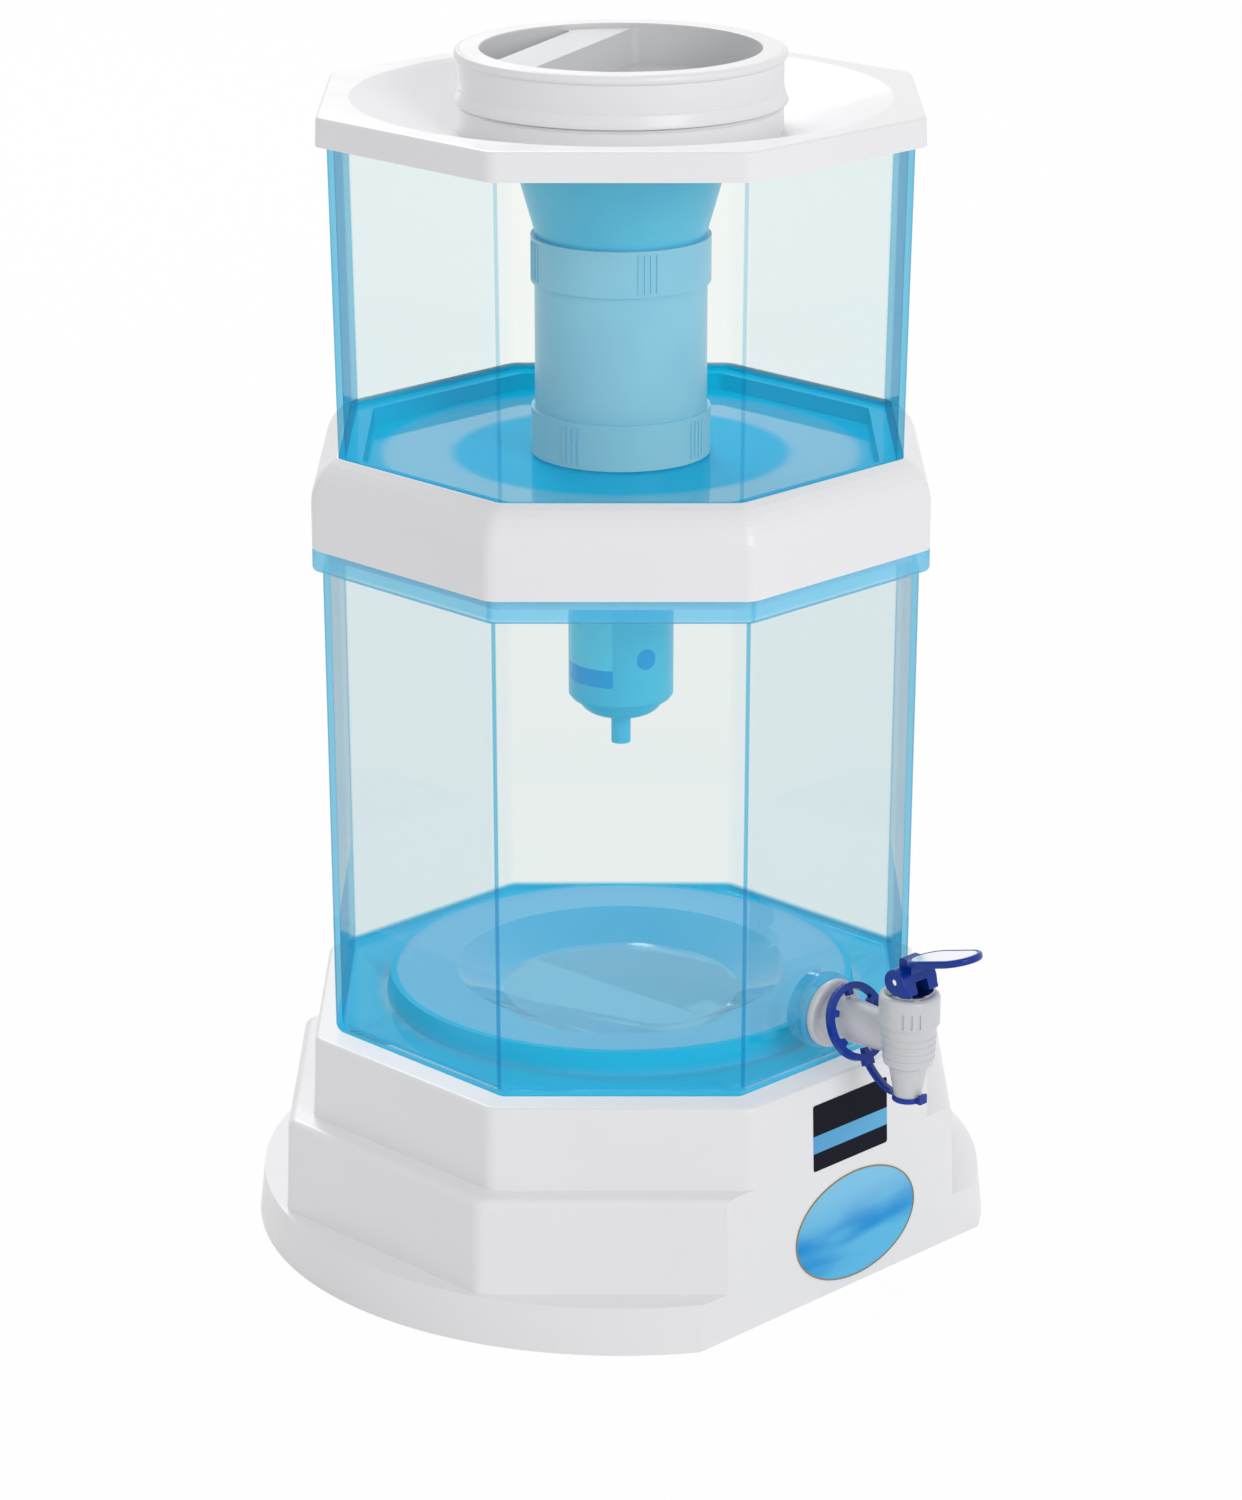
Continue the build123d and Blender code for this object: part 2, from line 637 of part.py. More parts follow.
with BuildPart() as tap_bonnet:
    disc(bonnet_radius, tap_body_top, bonnet_top, plane=tap_axis)
    fillet(tap_bonnet.edges().group_by(Axis.Z)[-1], bonnet_round)
    with BuildSketch(tap_axis.offset(tap_body_top + 1)):
        for groove in range(bonnet_grooves):
            turn = groove_turn + (groove - (bonnet_grooves - 1) / 2) * groove_pitch
            for side in (0, 180):
                with PolarLocations(bonnet_radius, 1, start_angle=turn + side):
                    Rectangle(2 * groove_depth, groove_width)
    extrude(amount=groove_height, mode=Mode.SUBTRACT)
    disc(chamber_radius, tap_body_top, bonnet_top - bonnet_top_wall, mode=Mode.SUBTRACT, plane=tap_axis)
    disc(plunger_radius + plunger_gap, tap_body_top, bonnet_top, mode=Mode.SUBTRACT, plane=tap_axis)
save(tap_bonnet, "tap_bonnet")

with BuildPart() as tap_washer:
    disc(washer_radius, bonnet_top, washer_top, plane=tap_axis, bore=plunger_radius + plunger_gap)
    chamfer(tap_washer.edges().group_by(Axis.Z)[-1].sort_by(SortBy.LENGTH)[-1], washer_thickness / 3)
save(tap_washer, "tap_washer")

valve_top = chamber_floor + seat_gap + valve_thickness
ear_foot = washer_top + ear_rest_gap
with BuildPart() as tap_plunger:
    disc(plunger_radius, valve_top, ear_foot, plane=tap_axis)
    disc(spring_radius + spring_wire, valve_top, valve_top + spring_seat, plane=tap_axis)
    disc(head_radius, ear_foot, pin_level + head_rise, plane=tap_axis)
    fillet(tap_plunger.edges().group_by(Axis.Z)[-1], head_round)
    with BuildSketch(Plane((0, -tap_reach, pin_level), z_dir=(1, 0, 0))):
        Circle(pin_radius + plunger_gap)
    extrude(amount=head_radius + 1, both=True, mode=Mode.SUBTRACT)
save(tap_plunger, "tap_plunger")

with BuildPart() as tap_valve_seal:
    disc(valve_radius, chamber_floor + seat_gap, valve_top, plane=tap_axis)
    chamfer(tap_valve_seal.edges().group_by(Axis.Z)[0], valve_thickness / 4)
save(tap_valve_seal, "tap_valve_seal")

spring_foot = valve_top + spring_seat + spring_wire / 2 + spring_gap
spring_top = bonnet_top - bonnet_top_wall - spring_wire / 2 - spring_gap
with BuildPart() as tap_spring:
    with BuildLine():
        Helix(pitch=(spring_top - spring_foot) / spring_turns, height=spring_top - spring_foot,
              radius=spring_radius, center=(0, -tap_reach, spring_foot))
    with BuildSketch(Plane((spring_radius, -tap_reach, spring_foot), z_dir=(0, 1, 0))):
        Circle(spring_wire / 2)
    sweep(is_frenet=True)
save(tap_spring, "tap_spring")

with BuildPart() as tap_gasket:
    disc(tap_gasket_radius, boss_face, flange_back, plane=stem_plane, bore=tail_radius + tail_gap)
save(tap_gasket, "tap_gasket")

# ---------------------------------------------------------------- lever
paddle_plane = Plane((0, -tap_reach, pin_level + paddle_rise), x_dir=(1, 0, 0), z_dir=(0, 0, 1)).rotated(
    (-paddle_tilt, 0, 0))
paddle_middle = -paddle_start - paddle_length / 2
ear_gap = 2 * (head_radius + ear_side_gap)
head_reach = math.hypot(head_radius, head_rise) + ear_side_gap
pin_plane = Plane((0, -tap_reach, pin_level), x_dir=(0, 1, 0), z_dir=(1, 0, 0))
with BuildPart() as tap_lever:
    with BuildSketch(pin_plane) as ear_profile:
        Circle(ear_radius)
        with Locations((-cam_distance, cam_radius - ear_radius)):
            Circle(cam_radius)
        make_hull()
    extrude(ear_profile.sketch, amount=ear_reach, both=True)
    fillet(tap_lever.edges().filter_by_position(Axis.X, ear_reach - 0.1, ear_reach + 0.1)
           + tap_lever.edges().filter_by_position(Axis.X, -ear_reach - 0.1, 0.1 - ear_reach), ear_round)
    disc(ear_plan_radius, washer_top, pin_level + 2 * ear_radius, mode=Mode.INTERSECT, plane=tap_axis)
    with BuildSketch(tap_axis.offset(pin_level)):
        with Locations((0, (neck_back - neck_front) / 2)):
            Rectangle(neck_width, neck_front + neck_back)
    extrude(amount=paddle_rise)
    fillet(tap_lever.edges().group_by(Axis.Z)[-1].group_by(Axis.Y)[-1], paddle_round)
    with BuildPart(mode=Mode.PRIVATE) as paddle:
        with BuildSketch(paddle_plane):
            with Locations((0, paddle_middle)):
                SlotOverall(paddle_length, paddle_width, rotation=90)
        extrude(amount=-paddle_thickness)
        fillet(paddle.faces().sort_by(Axis.Z)[0].edges(), paddle_round)
    add(paddle.part)
    with BuildSketch(paddle_plane):
        with Locations((0, paddle_middle)):
            SlotOverall(paddle_length - 2 * plate_inset, paddle_width - 2 * plate_inset, rotation=90)
    extrude(amount=-plate_recess, mode=Mode.SUBTRACT)
    with BuildSketch(paddle_plane):
        with Locations((0, paddle_middle)):
            SlotOverall(paddle_length - 2 * plate_inset, paddle_width - 2 * plate_inset, rotation=90)
    extrude(amount=neck_back, mode=Mode.SUBTRACT)
    with BuildSketch(pin_plane):
        Circle(pin_radius + plunger_gap)
    extrude(amount=ear_reach + 1, both=True, mode=Mode.SUBTRACT)
    with BuildSketch(pin_plane):
        Circle(head_reach)
    extrude(amount=ear_gap / 2, both=True, mode=Mode.SUBTRACT)
    with BuildSketch(tap_axis.offset(washer_top)):
        Rectangle(ear_gap, 4 * ear_plan_radius)
    extrude(amount=pin_rise, mode=Mode.SUBTRACT)
save(tap_lever, "tap_lever")

with BuildPart() as lever_plate:
    with BuildSketch(paddle_plane.offset(-plate_recess)):
        with Locations((0, paddle_middle)):
            SlotOverall(paddle_length - 2 * plate_inset - 2 * flush_gap,
                        paddle_width - 2 * plate_inset - 2 * flush_gap, rotation=90)
    extrude(amount=plate_recess - flush_gap)
    fillet(lever_plate.faces().sort_by(Axis.Z)[-1].edges(), plate_round)
save(lever_plate, "lever_plate")

with BuildPart() as lever_pin:
    with BuildSketch(pin_plane):
        Circle(pin_radius)
    extrude(amount=ear_reach - pin_inset, both=True)
save(lever_pin, "lever_pin")

# ---------------------------------------------------------------- strap and spout cap
stopper_top = nozzle_foot - ear_rest_gap
stopper_foot = stopper_top - stopper_flange
ring_plane = Plane((0, -tap_reach + ring_distance, tap_height), x_dir=(1, 0, 0), z_dir=(0, -1, 0)).rotated(
    (-ring_lean, 0, 0))
tooth_top = ring_radius - ring_bar / 2
with BuildPart() as strap_ring:
    with BuildSketch(ring_plane):
        Circle(ring_radius)
        Circle(ring_radius - ring_bar, mode=Mode.SUBTRACT)
        with PolarLocations((tooth_circle + tooth_top) / 2, ring_teeth, start_angle=tooth_turn):
            Rectangle(tooth_top - tooth_circle, tooth_width)
        with Locations((0, -(tooth_top + ring_radius + lug_drop) / 2)):
            Rectangle(lug_width, ring_radius + lug_drop - tooth_top)
    extrude(amount=ring_thickness / 2, both=True)
save(strap_ring, "strap_ring")

tab_end = stopper_radius + tab_length - 1
with BuildPart() as spout_cap:
    disc(stopper_radius, stopper_foot, stopper_top, plane=tap_axis)
    fillet(spout_cap.edges(), stopper_round)
    disc(stopper_plug_radius, stopper_top, stopper_top + stopper_plug_length, plane=tap_axis)
    chamfer(spout_cap.edges().group_by(Axis.Z)[-1], stopper_round)
    with BuildSketch(tap_axis.offset(stopper_foot + (stopper_flange - tab_height) / 2)):
        with Locations((0, tab_end - tab_length / 2 - 1), (0, 1 + tab_length / 2 - tab_end)):
            Rectangle(strap_width, tab_length + 2)
    extrude(amount=tab_height)
    with BuildSketch(tap_axis.offset(stopper_foot + (stopper_flange - tab_height) / 2)):
        with Locations((0, tab_lip_thickness / 2 - tab_end)):
            Rectangle(strap_width, tab_lip_thickness)
    extrude(amount=tab_lip)
save(spout_cap, "spout_cap")

ring_foot = ring_plane.from_local_coords((0, -(ring_radius + lug_drop + strap_gap), 0))
ring_down = -ring_plane.y_dir
strap_level = stopper_foot + stopper_flange / 2
strap_end = Vector(0, -tap_reach + tab_end + strap_gap, strap_level)
with BuildPart() as cap_strap:
    with BuildLine():
        Spline(ring_foot, strap_end, tangents=(ring_down, Vector(0, -1, 0)))
    with BuildSketch(Plane(ring_foot, x_dir=(1, 0, 0), z_dir=ring_down)):
        Rectangle(strap_width, strap_thickness)
    sweep()
save(cap_strap, "cap_strap")
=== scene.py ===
"""Looks of a gravity water filter with a tap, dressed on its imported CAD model."""
import math

import bmesh
import bpy
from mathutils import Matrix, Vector
from mathutils.geometry import interpolate_bezier


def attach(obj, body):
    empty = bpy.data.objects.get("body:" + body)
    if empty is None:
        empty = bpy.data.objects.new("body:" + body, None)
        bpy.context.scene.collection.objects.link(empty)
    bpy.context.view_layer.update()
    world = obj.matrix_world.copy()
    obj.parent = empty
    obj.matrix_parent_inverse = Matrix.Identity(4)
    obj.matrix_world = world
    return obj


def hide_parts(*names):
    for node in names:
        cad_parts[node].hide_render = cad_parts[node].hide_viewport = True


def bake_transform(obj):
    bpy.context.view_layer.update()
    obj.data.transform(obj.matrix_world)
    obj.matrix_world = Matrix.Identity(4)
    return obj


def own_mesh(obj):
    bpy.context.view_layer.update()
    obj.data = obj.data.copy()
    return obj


MM = 0.001

# ---------------------------------------------------------------- camera, light and stage
IMAGE_HEIGHT = 1500
FOCAL_PIXELS = 4510.5
SENSOR_HEIGHT = 24.0
CAMERA_DISTANCE = 2.0415        # from the tanks' axis, level
CAMERA_HEIGHT = 0.924
CAMERA_PITCH = 0.326665         # radians below level
CAMERA_HEADING = math.radians(-45)
FLOOR_RADIUS = 14.0
FLOOR_DROP = 0.0002
FLOOR_GLOW = 0.97               # how white the floor is shown, the rest being its shadows
WORLD_LEVEL = 0.61              # the world's light on the object
LIGHT_SIZE = 1.6
LIGHT_AIM = (0, 0, 0.3)
KEY_PLACE = (-0.8, -3.9, 1.8)
KEY_POWER = 46.0
BACK_PLACE = (1.9, 2.9, 3.0)
BACK_POWER = 56.0

# ---------------------------------------------------------------- places on the object, in mm
TANK_FOOT = 108.7
FLANGE_FOOT = 338.3
PLATEAU_RADIUS = 114.0
FOOT_ROUNDING = 130.0           # least radius of the lower tank's rounded foot
PLATEAU_TOP = 123.5
EDGE_RADIUS = 111.0             # middle of the plateau's outer slope
UPPER_FLOOR_FOOT = 378.0        # underside of the upper tank's floor
UPPER_MIDDLE = 79.0             # radius of the upper floor's deep blue middle
UPPER_RIM = 111.0               # and of its deep blue rim
RIM_BLUR = 5.0                  # half of the width over which both fade out
LEDGE_TOP = 388.0
CARTRIDGE_RADIUS = 24.9
LABEL_ANGLES = (150, 216)       # degrees from +X
LABEL_HEIGHTS = (279.5, 345)
LABEL_FOOT_HEIGHTS = (271, 279.5)
MARK_ANGLES = (242.3, 265.3)
MARK_HEIGHTS = (279.5, 289.5)
CAP_POCKET_RADIUS = 64.3
CAP_LIP = ((73.6, 565.0), (75.3, 565.2), (76.0, 566.2), (75.9, 568.4), (75.0, 569.3), (73.6, 569.3))
CAP_FLARE = ((74.2, 553.5), (74.8, 551.0), (75.5, 548.4), (76.6, 546.2), (76.4, 545.6), (74.2, 545.6))
FRONT_OFFSET = 148.5            # stand's front plane at the floor
FRONT_LEAN = 0.032
TAP_HEIGHT = 137.0
BOSS_RADIUS = 17.6
BOSS_FRONT = 120.0              # the boss lies further out than this
TAP_REACH = 186.012
SPRING_RADIUS = 5.4
SPRING_HEIGHTS = (134.4, 157.4)
SPRING_TURNS = 5
WIRE_RADIUS = 0.5
STICKER_THICKNESS = 0.25
BADGE_CENTRE = (5.8, 81.0)
BADGE_SIZE = (51.0, 33.0)
BADGE_BAND = (0.27, 0.53)       # shares of the badge's height where its light band starts and ends
BAND_BLUR = 0.01
OVAL_CENTRE = (8.8, 30.5)
OVAL_RADII = (40.9, 26.1)
GILT_WIDTH = 0.7                # line round the oval
GILT_REACH = 0.4                # its outer edge beyond the oval's
GILT_RISE = 0.15                # its height above the sticker
STRAP_ROUTE = ((-161.5, 118.4), (-165.6, 113.4), (-171.0, 109.4), (-176.6, 108.7))  # (y, z) of its Bezier
STRAP_HALF_WIDTH = 2.3
STRAP_HALF_THICKNESS = 0.8


# ---------------------------------------------------------------- node helpers
class Nodes:
    """Short names for building one material's node tree."""

    def __init__(self, name):
        self.material = bpy.data.materials.new(name)
        self.material.use_nodes = True
        self.tree = self.material.node_tree
        self.tree.nodes.clear()
        self.output = self.add("ShaderNodeOutputMaterial")
        self.coords = self.add("ShaderNodeTexCoord").outputs["Object"]

    def add(self, kind, **settings):
        node = self.tree.nodes.new(kind)
        for key, value in settings.items():
            setattr(node, key, value)
        return node

    def put(self, socket, value):
        if isinstance(value, bpy.types.NodeSocket):
            self.tree.links.new(value, socket)
        else:
            socket.default_value = value

    def math(self, operation, first, second=0.0, clamp=False):
        node = self.add("ShaderNodeMath", operation=operation, use_clamp=clamp)
        self.put(node.inputs[0], first)
        self.put(node.inputs[1], second)
        return node.outputs[0]

    def ramp(self, value, start, end, low=0.0, high=1.0):
        """value from start to end, mapped smoothly to low to high."""
        node = self.add("ShaderNodeMapRange", interpolation_type="SMOOTHSTEP")
        for socket, setting in zip(node.inputs, (value, start, end, low, high)):
            self.put(socket, setting)
        return node.outputs[0]

    def noise(self, scale, detail=3.0, roughness=0.5, stretch=None):
        node = self.add("ShaderNodeTexNoise")
        node.inputs["Scale"].default_value = scale
        node.inputs["Detail"].default_value = detail
        node.inputs["Roughness"].default_value = roughness
        source = self.coords
        if stretch:
            mapping = self.add("ShaderNodeMapping")
            mapping.inputs["Scale"].default_value = stretch
            self.put(mapping.inputs["Vector"], source)
            source = mapping.outputs[0]
        self.put(node.inputs["Vector"], source)
        return node.outputs["Fac"]

    def mix(self, factor, first, second):
        """Colour between first and second."""
        node = self.add("ShaderNodeMix", data_type="RGBA")
        self.put(node.inputs["Factor"], factor)
        self.put(node.inputs[6], first)
        self.put(node.inputs[7], second)
        return node.outputs[2]

    def blend(self, factor, first, second):
        """Shader between first and second."""
        node = self.add("ShaderNodeMixShader")
        self.put(node.inputs[0], factor)
        self.put(node.inputs[1], first)
        self.put(node.inputs[2], second)
        return node.outputs[0]

    def bump(self, height, strength, distance):
        node = self.add("ShaderNodeBump")
        node.inputs["Strength"].default_value = strength
        node.inputs["Distance"].default_value = distance
        self.put(node.inputs["Height"], height)
        return node.outputs[0]

    def axes(self):
        """X, Y and Z of the point, in metres."""
        node = self.add("ShaderNodeSeparateXYZ")
        self.put(node.inputs[0], self.coords)
        return node.outputs

    def radius(self, centre_y=0.0):
        """Distance from the upright axis through (0, centre_y)."""
        x, y, _ = self.axes()
        y = self.math("SUBTRACT", y, centre_y)
        return self.math("SQRT", self.math("ADD", self.math("MULTIPLY", x, x), self.math("MULTIPLY", y, y)))

    def corner_distance(self):
        """Angle round the axis to the nearest of the octagon's eight corners."""
        x, y, _ = self.axes()
        turn = self.math("ADD", self.math("ARCTAN2", y, x), math.pi / 8)
        return self.math("PINGPONG", turn, math.pi / 8)

    def principled(self, **values):
        shader = self.add("ShaderNodeBsdfPrincipled")
        for key, value in values.items():
            self.put(shader.inputs[key.replace("_", " ")], value)
        self.put(self.output.inputs["Surface"], shader.outputs[0])
        return shader


def rgb(red, green, blue):
    """Linear colour from the 0 to 255 values a screen shows."""
    def linear(value):
        share = value / 255
        return share / 12.92 if share <= 0.04045 else ((share + 0.055) / 1.055) ** 2.4
    return (linear(red), linear(green), linear(blue), 1.0)


# ---------------------------------------------------------------- materials
def moulded(name, colour, shade, roughness, grain=1100.0, grain_strength=0.05, **extra):
    """Opaque moulded plastic: faint cloudiness, uneven gloss and a fine moulded grain."""
    nodes = Nodes(name)
    clouds = nodes.noise(9.0, 4.0)
    gloss = nodes.ramp(nodes.noise(60.0, 3.0), 0.3, 0.7, roughness - 0.04, roughness + 0.05)
    nodes.principled(
        Base_Color=nodes.mix(nodes.ramp(clouds, 0.3, 0.7), colour, shade), Roughness=gloss,
        Normal=nodes.bump(nodes.noise(grain, 2.0), grain_strength, 0.0002), **extra)
    return nodes.material


LOWER_RIM_DEPTH = 0.72                      # how near the lower floor's rim comes to the deepest blue
FACING_MIRROR = 0.015                       # reflected square on, by the outer side of each surface
DEEP_SHINE = 0.35                           # share of the reflections left where the plastic is deepest blue
LOWER_TINT = (0.948, 0.964, 0.960, 1.0)     # what one surface lets through, seen square on
UPPER_TINT = (0.972, 0.983, 0.974, 1.0)
EDGE_TINT = (0.05, 0.52, 0.75, 1.0)         # and seen edge on
THICK_TINT = (0.45, 0.86, 0.97, 1.0)        # what the thick moulded floor and foot let through
DEEP_TINT = (0.08, 0.74, 0.95, 1.0)         # and where they are deepest blue
EDGE_MILK = 0.12                            # share of milky plastic where a surface is seen edge on
THICK_MILK, DEEP_MILK = 0.72, 0.9           # where it is thick, and where it is deepest blue
GRAZING_MIRROR = 0.85                       # reflected edge on
SLANTED_MIRROR = 0.10                       # added in step with the slant
LOWER_MILK = (rgb(106, 208, 252), rgb(98, 201, 250))
UPPER_MILK = (rgb(124, 218, 253), rgb(114, 212, 251))
CORNER_WIDTH = 0.009                        # half of a corner's line, in radians round the axis
LOWER_CORNER = (0.14363, 0.008115, 0.8)     # corner's least radius at z = 0, its growth, the line's strength
UPPER_CORNER = (0.13050, 0.018284, 0.4)


def clear_tank(name, tint, milk, corner_line, thick_share, deep_share):
    """Clear plastic, bluer seen edge on, milky blue where it is thick and deepest blue at its foot."""
    nodes = Nodes(name)
    thick, deepness = thick_share(nodes), deep_share(nodes)
    haze = nodes.noise(24.0, 3.0)
    relief = nodes.bump(nodes.noise(14.0, 2.0), 0.10, 0.0004)
    weight = nodes.add("ShaderNodeLayerWeight")
    weight.inputs["Blend"].default_value = 0.5
    facing = weight.outputs["Facing"]
    outside = nodes.math("SUBTRACT", 1.0, nodes.add("ShaderNodeNewGeometry").outputs["Backfacing"])
    least, growth, strength = corner_line
    limit = nodes.math("ADD", nodes.math("MULTIPLY", nodes.axes()[2], growth), least)
    outer = nodes.math("MULTIPLY", nodes.math("GREATER_THAN", nodes.radius(), limit), outside)
    corner = nodes.math("MULTIPLY", outer, nodes.ramp(
        nodes.corner_distance(), CORNER_WIDTH, CORNER_WIDTH / 2, 0.0, strength))
    edge = nodes.math("MAXIMUM", nodes.math("POWER", facing, 3.0), corner)
    window = nodes.add("ShaderNodeBsdfTransparent")
    nodes.put(window.inputs["Color"], nodes.mix(thick, nodes.mix(edge, tint, EDGE_TINT),
                                               nodes.mix(deepness, THICK_TINT, DEEP_TINT)))
    body = nodes.add("ShaderNodeBsdfDiffuse")
    pale = nodes.mix(haze, *milk)
    deep = nodes.mix(haze, rgb(6, 206, 253), rgb(2, 198, 250))
    nodes.put(body.inputs["Color"], nodes.mix(deepness, pale, deep))
    nodes.put(body.inputs["Normal"], relief)
    gloss = nodes.add("ShaderNodeBsdfAnisotropic")
    nodes.put(gloss.inputs["Roughness"], nodes.ramp(haze, 0.35, 0.7, 0.02, 0.06))
    nodes.put(gloss.inputs["Normal"], relief)
    cover = nodes.ramp(deepness, 0.0, 1.0, THICK_MILK, DEEP_MILK)
    body_share = nodes.math("MAXIMUM", nodes.math("MULTIPLY", thick, cover),
                            nodes.math("MULTIPLY", edge, EDGE_MILK))
    grazing = nodes.math("ADD", nodes.math("MULTIPLY", nodes.math("POWER", facing, 5.0), GRAZING_MIRROR),
                         nodes.math("MULTIPLY", facing, SLANTED_MIRROR))
    reflected = nodes.math("ADD", grazing, FACING_MIRROR)
    shine = nodes.ramp(deepness, 0.0, 1.0, 1.0, DEEP_SHINE)
    mirror = nodes.math("MULTIPLY", nodes.math("MULTIPLY", reflected, shine), outside)
    through = nodes.blend(body_share, window.outputs[0], body.outputs[0])
    path = nodes.add("ShaderNodeLightPath")
    unseen = nodes.math("MAXIMUM", path.outputs["Is Shadow Ray"], path.outputs["Is Diffuse Ray"])
    light = nodes.add("ShaderNodeBsdfTransparent")
    nodes.put(nodes.output.inputs["Surface"], nodes.blend(
        unseen, nodes.blend(mirror, through, gloss.outputs[0]), light.outputs[0]))
    return nodes.material


def lower_tank_thick(nodes):
    """The moulded floor, foot and tap's boss are thick, the flange half as much."""
    height = nodes.axes()[2]
    foot = nodes.ramp(height, (TANK_FOOT + 7) * MM, (TANK_FOOT + 3.5) * MM)
    floor = nodes.math("MULTIPLY", nodes.ramp(nodes.radius(), (PLATEAU_RADIUS + 3) * MM, PLATEAU_RADIUS * MM),
                       nodes.ramp(height, (PLATEAU_TOP + 4) * MM, PLATEAU_TOP * MM))
    flange = nodes.ramp(height, (FLANGE_FOOT - 1) * MM, FLANGE_FOOT * MM, 0.0, 0.5)
    return nodes.math("MAXIMUM", nodes.math("MAXIMUM", foot, floor),
                      nodes.math("MAXIMUM", flange, nodes.math("MULTIPLY", boss_share(nodes), 0.7)))


def boss_share(nodes):
    """1 on the round boss that holds the tap."""
    x, y, height = nodes.axes()
    drop = nodes.math("SUBTRACT", height, TAP_HEIGHT * MM)
    off_stem = nodes.math("SQRT", nodes.math("ADD", nodes.math("MULTIPLY", x, x),
                                             nodes.math("MULTIPLY", drop, drop)))
    return nodes.math("MULTIPLY", nodes.ramp(off_stem, (BOSS_RADIUS + 1) * MM, BOSS_RADIUS * MM),
                      nodes.math("LESS_THAN", y, -BOSS_FRONT * MM))


def lower_tank_deep(nodes):
    """The rim of the moulded floor, outside the plateau, the plateau's slope and the foot's rounding."""
    radius, height = nodes.radius(), nodes.axes()[2]
    rim = nodes.math("MULTIPLY", nodes.ramp(radius, (PLATEAU_RADIUS - 2) * MM, (PLATEAU_RADIUS + 6) * MM),
                     nodes.math("SUBTRACT", 1.0, boss_share(nodes)))
    low = nodes.math("LESS_THAN", height, FLANGE_FOOT * MM / 2)
    rim = nodes.math("MULTIPLY", nodes.math("MULTIPLY", rim, low), LOWER_RIM_DEPTH)
    off_edge = nodes.math("ABSOLUTE", nodes.math("SUBTRACT", radius, EDGE_RADIUS * MM))
    edge = nodes.math("MULTIPLY", nodes.ramp(off_edge, 3.2 * MM, 1.8 * MM, 0.0, 0.9), low)
    foot = nodes.math("MULTIPLY", nodes.ramp(height, (TANK_FOOT + 3.5) * MM, (TANK_FOOT + 2) * MM),
                      nodes.math("GREATER_THAN", radius, FOOT_ROUNDING * MM))
    return nodes.math("MAXIMUM", nodes.math("MAXIMUM", rim, edge), foot)


def upper_tank_thick(nodes):
    """Everything up to the stepped floor's ledge is thick."""
    return nodes.ramp(nodes.axes()[2], (LEDGE_TOP + 3) * MM, LEDGE_TOP * MM)


def upper_tank_deep(nodes):
    """The floor's round middle, the ledge and what is below the floor."""
    radius = nodes.radius()
    middle = nodes.ramp(radius, (UPPER_MIDDLE + RIM_BLUR) * MM, (UPPER_MIDDLE - RIM_BLUR) * MM)
    rim = nodes.ramp(radius, (UPPER_RIM - RIM_BLUR) * MM, (UPPER_RIM + RIM_BLUR) * MM)
    below = nodes.ramp(nodes.axes()[2], (UPPER_FLOOR_FOOT + 0.5) * MM, (UPPER_FLOOR_FOOT - 0.5) * MM)
    return nodes.math("MAXIMUM", nodes.math("MAXIMUM", middle, rim), below)


def cloudy(name, colour, shade, share=0.10, roughness=0.3):
    """Milky plastic with soft flow marks, lit through from behind by its share."""
    nodes = Nodes(name)
    clouds = nodes.ramp(nodes.noise(30.0, 4.0), 0.3, 0.7)
    shown = nodes.mix(clouds, colour, shade)
    relief = nodes.bump(nodes.noise(160.0, 2.0), 0.05, 0.0003)
    skin = nodes.principled(Base_Color=shown, Roughness=roughness, Normal=relief)
    milk = nodes.add("ShaderNodeBsdfTranslucent")
    nodes.put(milk.inputs["Color"], shown)
    nodes.put(milk.inputs["Normal"], relief)
    nodes.put(nodes.output.inputs["Surface"], nodes.blend(share, skin.outputs[0], milk.outputs[0]))
    return nodes.material


def painted_shade_white(colour, painted_shade_colour):
    """White plastic of the fill cap, with painted shade: greyer inside its rim, where little light comes in.
    """
    nodes = Nodes("cap_white_painted_shade")
    # painted shade: everything inside the cap's rim is greyed, as if little light reached it
    inside = nodes.ramp(nodes.radius(), (CAP_POCKET_RADIUS + 1.0) * MM, (CAP_POCKET_RADIUS + 0.2) * MM)
    nodes.principled(Base_Color=nodes.mix(inside, colour, painted_shade_colour),
                     Roughness=nodes.ramp(nodes.noise(60.0, 3.0), 0.3, 0.7, 0.28, 0.37))
    return nodes.material


def metal(name, colour, roughness, stretch):
    """Bright metal with fine marks drawn out along one direction."""
    nodes = Nodes(name)
    lines = nodes.noise(900.0, 3.0, 0.6, stretch)
    nodes.principled(
        Base_Color=colour, Metallic=1.0, Roughness=nodes.ramp(lines, 0.2, 0.8, roughness, roughness + 0.12),
        Normal=nodes.bump(lines, 0.05, 0.0001))
    return nodes.material


def fuzzy(name, colour, shade, scale, stretch=None):
    """Felt or fibre: uneven colour and a coarse matte surface."""
    nodes = Nodes(name)
    strands = nodes.noise(scale, 5.0, 0.7, stretch)
    nodes.principled(
        Base_Color=nodes.mix(nodes.ramp(strands, 0.3, 0.7), shade, colour), Roughness=0.95,
        Sheen_Weight=0.3, Normal=nodes.bump(strands, 0.8, 0.0006))
    return nodes.material


